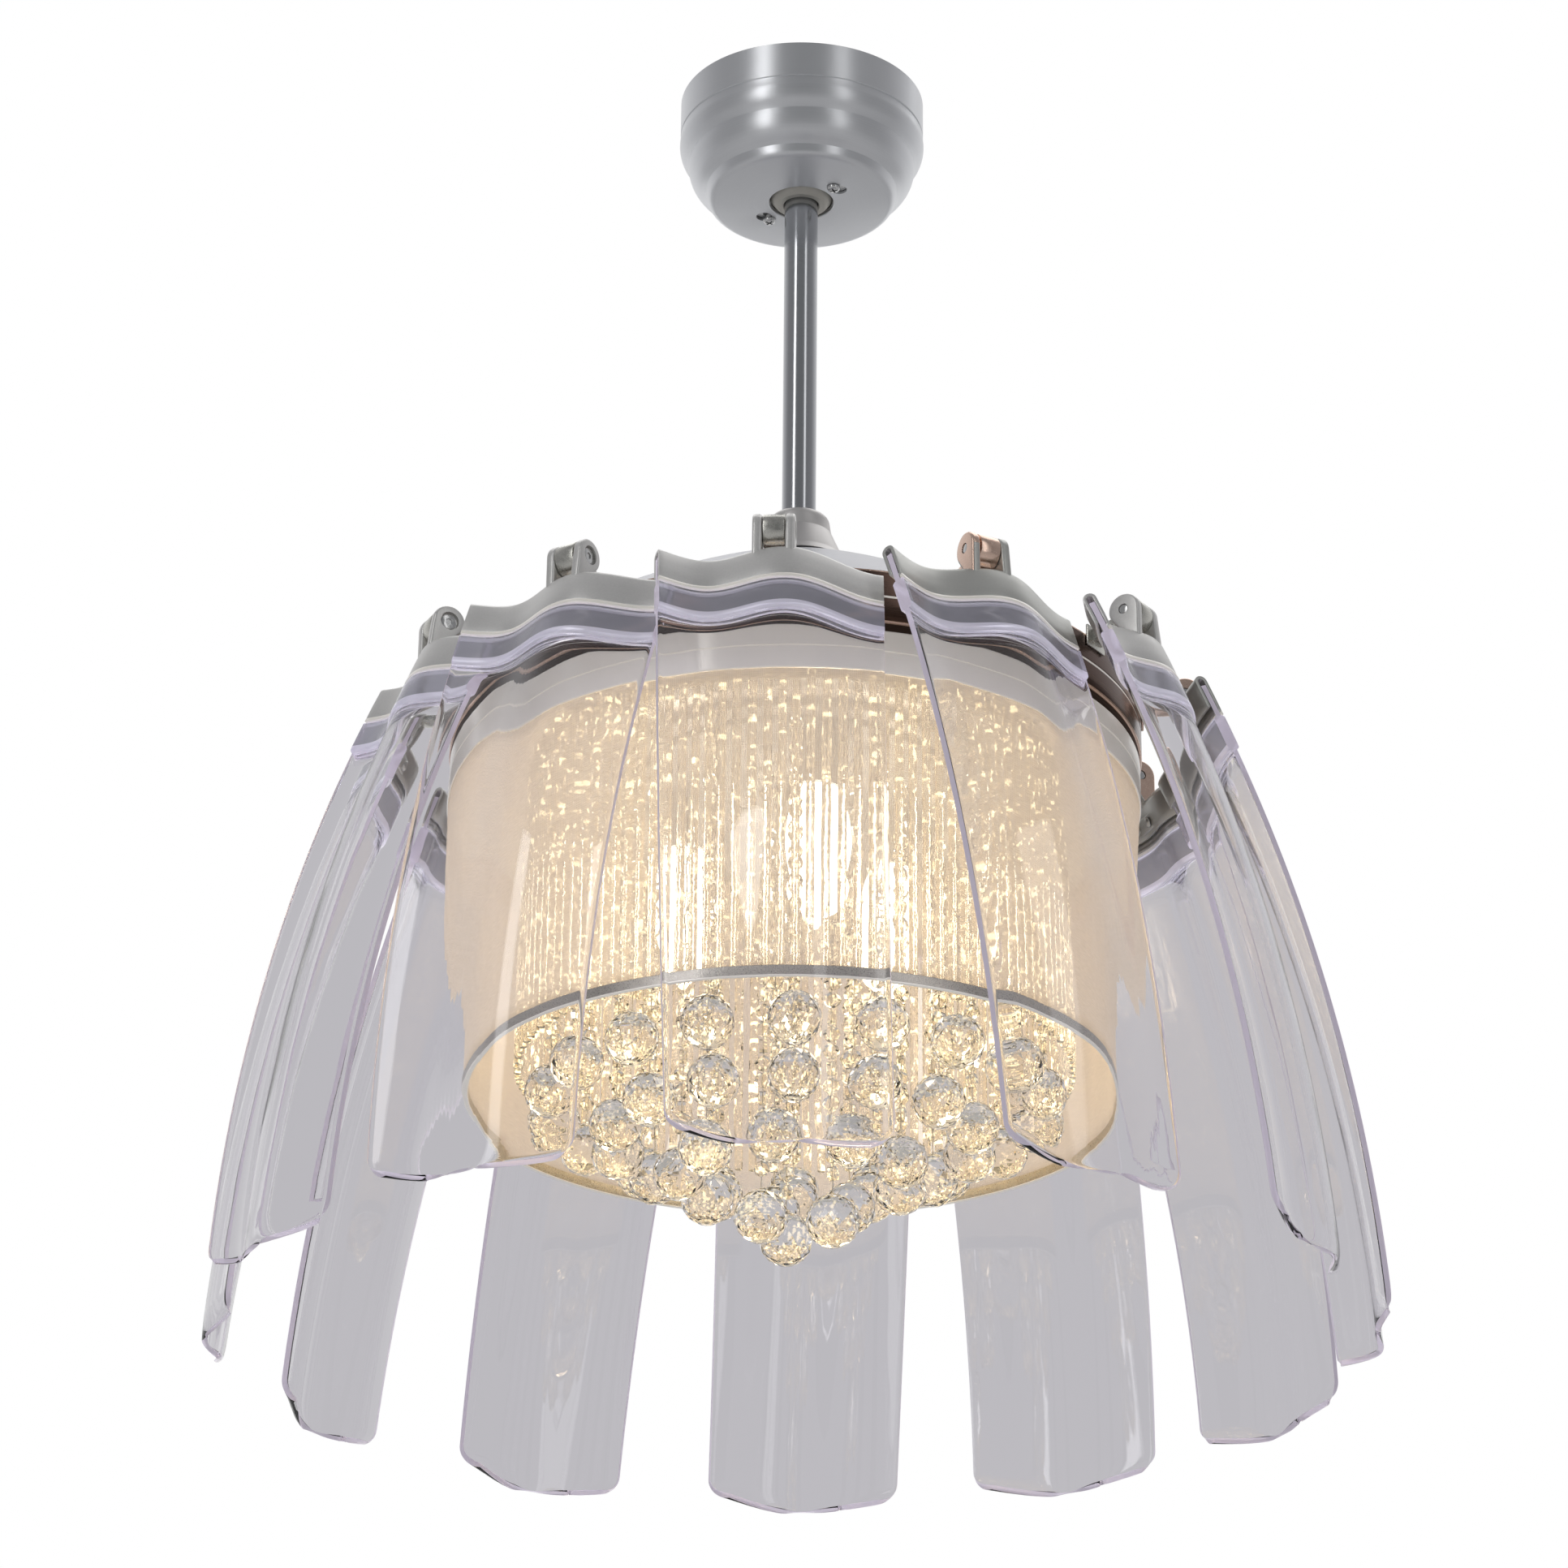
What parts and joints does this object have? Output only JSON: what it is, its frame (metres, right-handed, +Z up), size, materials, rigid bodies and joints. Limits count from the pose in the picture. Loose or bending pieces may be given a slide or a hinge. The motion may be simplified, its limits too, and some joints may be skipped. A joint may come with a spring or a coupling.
{
  "type": "chandelier ceiling fan",
  "caption": "Ceiling fan chandelier: a drum shade with hanging cut crystals under a domed motor, ringed by clear waved blades on hinges that lift as it turns, on a downrod with a canopy.",
  "frame": {"origin": "centre of the hanger plate's top face, where it meets the ceiling", "axes": "+Z up, out of the plate towards the ceiling; -Y towards the front, +X to the right in the picture"},
  "size_m": [0.6132, 0.6132, 0.7505],
  "materials": {
    "clear_blade": "clear, smooth acrylic with a faint lavender tint",
    "satin_nickel": "satin nickel sheet",
    "bright_steel": "bright steel",
    "brushed_nickel": "turned and brushed nickel",
    "sandblasted_steel": "sandblasted, matt",
    "silver_paint": "matt silver paint",
    "polished_metal": "polished",
    "dark_bronze": "dark bronze with copper lights, glossy",
    "copper_windings": "varnished copper windings on a steel core",
    "ferrite": "pressed ferrite, matt",
    "white_enamel": "white enamel",
    "warm_lamp": "warm white lamp, lit",
    "organza": "sheer fine weave",
    "cut_crystal": "clear cut crystal"
  },
  "bodies": {
    "ceiling_side": {"hanger_bracket": "bright_steel", "canopy": "brushed_nickel"},
    "hanging_body": {"hanger_ball": "sandblasted_steel", "downrod": "brushed_nickel", "neck_cover": "silver_paint", "motor_shaft": "bright_steel", "stator": "copper_windings", "light_pan": "brushed_nickel", "lamp_plate": "white_enamel", "lamp_1": "warm_lamp", "lamp_2": "warm_lamp", "lamp_3": "warm_lamp", "shade_fabric": "organza", "shade_foot_ring": "polished_metal", "crystal_curtain": "cut_crystal", "crystal_drops_outer": "cut_crystal", "crystal_drops_middle": "cut_crystal", "crystal_drops_inner": "cut_crystal", "crystal_drops_centre": "cut_crystal"},
    "rotor": {"motor_dome": "polished_metal", "rotor_ring": "dark_bronze", "upper_bearing": "bright_steel", "lower_bearing": "bright_steel", "magnet_ring": "ferrite"},
    "blade_set_01": {"blade_01": "clear_blade", "blade_bracket_01": "satin_nickel", "hinge_pin_01": "bright_steel"},
    "blade_set_02": {"blade_02": "clear_blade", "blade_bracket_02": "satin_nickel", "hinge_pin_02": "bright_steel"},
    "blade_set_03": {"blade_03": "clear_blade", "blade_bracket_03": "satin_nickel", "hinge_pin_03": "bright_steel"},
    "blade_set_04": {"blade_04": "clear_blade", "blade_bracket_04": "satin_nickel", "hinge_pin_04": "bright_steel"},
    "blade_set_05": {"blade_05": "clear_blade", "blade_bracket_05": "satin_nickel", "hinge_pin_05": "bright_steel"},
    "blade_set_06": {"blade_06": "clear_blade", "blade_bracket_06": "satin_nickel", "hinge_pin_06": "bright_steel"},
    "blade_set_07": {"blade_07": "clear_blade", "blade_bracket_07": "satin_nickel", "hinge_pin_07": "bright_steel"},
    "blade_set_08": {"blade_08": "clear_blade", "blade_bracket_08": "satin_nickel", "hinge_pin_08": "bright_steel"},
    "blade_set_09": {"blade_09": "clear_blade", "blade_bracket_09": "satin_nickel", "hinge_pin_09": "bright_steel"},
    "blade_set_10": {"blade_10": "clear_blade", "blade_bracket_10": "satin_nickel", "hinge_pin_10": "bright_steel"},
    "blade_set_11": {"blade_11": "clear_blade", "blade_bracket_11": "satin_nickel", "hinge_pin_11": "bright_steel"},
    "blade_set_12": {"blade_12": "clear_blade", "blade_bracket_12": "satin_nickel", "hinge_pin_12": "bright_steel"}
  },
  "joints": [
    {"name": "downrod_tilt", "type": "hinge", "parent": "ceiling_side", "child": "hanging_body", "pos_m": [0, 0, -0.05], "axis": [1, 0, 0], "range_deg": [-8, 8]},
    {"name": "rotor_spin", "type": "hinge", "parent": "hanging_body", "child": "rotor", "pos_m": [0, 0, -0.391], "axis": [0, 0, 1], "continuous": true},
    {"name": "blade_lift_01", "type": "hinge", "parent": "rotor", "child": "blade_set_01", "pos_m": [-0.01239, -0.21164, -0.384], "axis": [-0.9983, 0.0584, 0], "range_deg": [0, 75]},
    {"name": "blade_lift_02", "type": "hinge", "parent": "rotor", "child": "blade_set_02", "pos_m": [0.09509, -0.18948, -0.384], "axis": [-0.8938, -0.4485, 0], "range_deg": [0, 75]},
    {"name": "blade_lift_03", "type": "hinge", "parent": "rotor", "child": "blade_set_03", "pos_m": [0.17709, -0.11655, -0.384], "axis": [-0.5498, -0.8353, 0], "range_deg": [0, 75]},
    {"name": "blade_lift_04", "type": "hinge", "parent": "rotor", "child": "blade_set_04", "pos_m": [0.21164, -0.01239, -0.384], "axis": [-0.0584, -0.9983, 0], "range_deg": [0, 75]},
    {"name": "blade_lift_05", "type": "hinge", "parent": "rotor", "child": "blade_set_05", "pos_m": [0.18948, 0.09509, -0.384], "axis": [0.4485, -0.8938, 0], "range_deg": [0, 75]},
    {"name": "blade_lift_06", "type": "hinge", "parent": "rotor", "child": "blade_set_06", "pos_m": [0.11655, 0.17709, -0.384], "axis": [0.8353, -0.5498, 0], "range_deg": [0, 75]},
    {"name": "blade_lift_07", "type": "hinge", "parent": "rotor", "child": "blade_set_07", "pos_m": [0.01239, 0.21164, -0.384], "axis": [0.9983, -0.0584, 0], "range_deg": [0, 75]},
    {"name": "blade_lift_08", "type": "hinge", "parent": "rotor", "child": "blade_set_08", "pos_m": [-0.09509, 0.18948, -0.384], "axis": [0.8938, 0.4485, 0], "range_deg": [0, 75]},
    {"name": "blade_lift_09", "type": "hinge", "parent": "rotor", "child": "blade_set_09", "pos_m": [-0.17709, 0.11655, -0.384], "axis": [0.5498, 0.8353, 0], "range_deg": [0, 75]},
    {"name": "blade_lift_10", "type": "hinge", "parent": "rotor", "child": "blade_set_10", "pos_m": [-0.21164, 0.01239, -0.384], "axis": [0.0584, 0.9983, 0], "range_deg": [0, 75]},
    {"name": "blade_lift_11", "type": "hinge", "parent": "rotor", "child": "blade_set_11", "pos_m": [-0.18948, -0.09509, -0.384], "axis": [-0.4485, 0.8938, 0], "range_deg": [0, 75]},
    {"name": "blade_lift_12", "type": "hinge", "parent": "rotor", "child": "blade_set_12", "pos_m": [-0.11655, -0.17709, -0.384], "axis": [-0.8353, 0.5498, 0], "range_deg": [0, 75]}
  ],
  "couplings": [
    {"joint": "blade_lift_02", "follows": "blade_lift_01", "ratio": 1},
    {"joint": "blade_lift_03", "follows": "blade_lift_01", "ratio": 1},
    {"joint": "blade_lift_04", "follows": "blade_lift_01", "ratio": 1},
    {"joint": "blade_lift_05", "follows": "blade_lift_01", "ratio": 1},
    {"joint": "blade_lift_06", "follows": "blade_lift_01", "ratio": 1},
    {"joint": "blade_lift_07", "follows": "blade_lift_01", "ratio": 1},
    {"joint": "blade_lift_08", "follows": "blade_lift_01", "ratio": 1},
    {"joint": "blade_lift_09", "follows": "blade_lift_01", "ratio": 1},
    {"joint": "blade_lift_10", "follows": "blade_lift_01", "ratio": 1},
    {"joint": "blade_lift_11", "follows": "blade_lift_01", "ratio": 1},
    {"joint": "blade_lift_12", "follows": "blade_lift_01", "ratio": 1}
  ]
}
